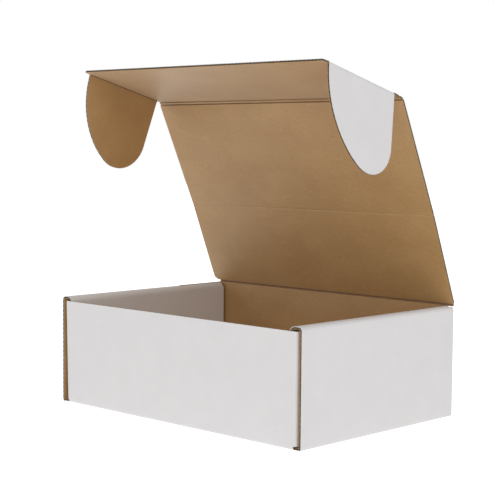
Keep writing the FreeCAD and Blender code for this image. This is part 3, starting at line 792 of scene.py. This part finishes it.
# %% Lay the creases
FAINT_DEPTH, CREASE_INSET, BAND_INSET = 1.42 * MM, 0.6 * MM, 0.3 * MM
crease_left, crease_right, band_half = CREASE_INSET - FLAP_OUT, HALF_WIDTH, LID_HALF - BAND_INSET
lid_turned, flap_turned = lid_place.to_3x3(), flap_place.to_3x3()
upper_inward = (lid_turned @ X_AXIS.cross(upper_run)).normalized()
band_inward = (lid_turned @ X_AXIS.cross(band_run)).normalized()
crease("lid_crease", Vector((crease_left, HALF_DEPTH, TURN_TOP)), (crease_right - crease_left) * X_AXIS,
       -Z_AXIS, -Y_AXIS, lid_turned @ -Y_AXIS, lid_turned @ -Z_AXIS, CREASE, ("tray", "lid"))
crease("front_flap_crease", lid_place @ turn_line - FLAP_HALF * X_AXIS, flap_width,
       lid_turned @ -band_run, band_inward, flap_turned @ -Y_AXIS, flap_turned @ -Z_AXIS, CREASE,
       ("lid", "front_flap"))
crease("bend_across_lid", lid_place @ bend_line - LID_HALF * X_AXIS, lid_width, lid_turned @ Y_AXIS,
       lid_turned @ -Z_AXIS, lid_turned @ upper_run, upper_inward, BEND_CREASE, ("lid",), FAINT_DEPTH,
       kraft_liner)
crease("band_crease", lid_place @ band_fold_line - band_half * X_AXIS, 2 * band_half * X_AXIS,
       lid_turned @ -upper_run, upper_inward, lid_turned @ band_run, band_inward, BAND_CREASE, ("lid",))
for side, sign in (("right", 1), ("left", -1)):
    ear_turned = flap_turned @ Matrix.Rotation(sign * EAR_FOLD, 3, "Y")
    crease(side + "_ear_crease", flap_place @ Vector((sign * FLAP_HALF, -EAR_START, 0)),
           flap_turned @ (-EAR_WIDTH * Y_AXIS), -sign * X_AXIS, flap_turned @ -Z_AXIS,
           ear_turned @ (sign * X_AXIS), ear_turned @ -Z_AXIS, EAR_CREASE, ("front_flap", side + "_ear"))

# %% Stand in for the frame's solids
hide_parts("lid")
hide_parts("front_flap")
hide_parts("tray")

# %% [markdown]
# ## Floor and light
# The box stands on a plain white floor in soft, even light, as for a catalogue picture. The floor glows
# a little, as a lit table does. The camera sees more of that glow than the box does, so that the floor
# is as white as the backdrop behind it and its far edge can't be seen. In the same way the room is plain
# white to the camera and in reflections, and gives the box a softer light.

# %% Lay the floor
SEEN_GLOW, FELT_GLOW, FLOOR_SIZE, FLOOR_GAP = 0.95, 0.54, 8.0, 0.2 * MM
bpy.context.scene.view_settings.view_transform = "Standard"
start_object()
bpy.ops.mesh.primitive_plane_add(size=FLOOR_SIZE, location=(0, 0, -FLOOR_GAP))
floor = bpy.context.object
floor.name = "floor"
floor_paint = new_material("white_floor")
soft_white = add_node(floor_paint, "ShaderNodeBsdfDiffuse", {"Color": from_hex("E7E7E7")})
seen_glow = add_node(floor_paint, "ShaderNodeEmission", {"Strength": SEEN_GLOW})
felt_glow = add_node(floor_paint, "ShaderNodeEmission", {"Strength": FELT_GLOW})
ray = add_node(floor_paint, "ShaderNodeLightPath")
glow = add_node(floor_paint, "ShaderNodeMixShader")
for socket, output in enumerate((ray.outputs["Is Camera Ray"], felt_glow.outputs[0], seen_glow.outputs[0])):
    join_nodes(floor_paint, output, glow, socket)
both = add_node(floor_paint, "ShaderNodeAddShader")
for socket, shader in enumerate((soft_white, glow)):
    join_nodes(floor_paint, shader.outputs[0], both, socket)
add_node(floor_paint, "ShaderNodeOutputMaterial", Surface=both.outputs[0])
floor.data.materials.append(floor_paint)

# %% Light the room
AIR, BACKDROP = 0.49, 1.0
world = bpy.context.scene.world or bpy.data.worlds.new("room")
bpy.context.scene.world = world
world.use_nodes = True
world.node_tree.nodes.clear()
air = add_node(world, "ShaderNodeBackground", {"Color": (1, 1, 1, 1), "Strength": AIR})
backdrop = add_node(world, "ShaderNodeBackground", {"Color": (1, 1, 1, 1), "Strength": BACKDROP})
ray = add_node(world, "ShaderNodeLightPath")
shown = ray.outputs["Is Camera Ray"]
for kind in ("Is Glossy Ray", "Is Transmission Ray"):
    either = add_node(world, "ShaderNodeMath", {"operation": "MAXIMUM"})
    join_nodes(world, shown, either, 0)
    join_nodes(world, ray.outputs[kind], either, 1)
    shown = either.outputs[0]
choose = add_node(world, "ShaderNodeMixShader")
for socket, output in enumerate((shown, air.outputs[0], backdrop.outputs[0])):
    join_nodes(world, output, choose, socket)
add_node(world, "ShaderNodeOutputWorld", Surface=choose.outputs[0])


def soft_lamp(name, place, aim, size, power):
    """A large square lamp that looks at a point."""
    bpy.ops.object.light_add(type="AREA", location=place)
    lamp = bpy.context.object
    lamp.name = lamp.data.name = name
    lamp.data.size = size
    lamp.data.energy = power
    lamp.rotation_euler = (Vector(aim) - Vector(place)).to_track_quat("-Z", "Y").to_euler()
    print(name, "gives", power, "W")


soft_lamp("front_lamp", place=(0.5, -1.6, 1.0), aim=(0, 0, 0.1), size=1.4, power=2.8)
soft_lamp("right_lamp", place=(1.3, -0.5, 1.2), aim=(0, 0, 0.05), size=1.2, power=5.6)
soft_lamp("left_lamp", place=(-1.1, -1.2, 0.3), aim=(0, 0, 0.15), size=0.9, power=2.0)
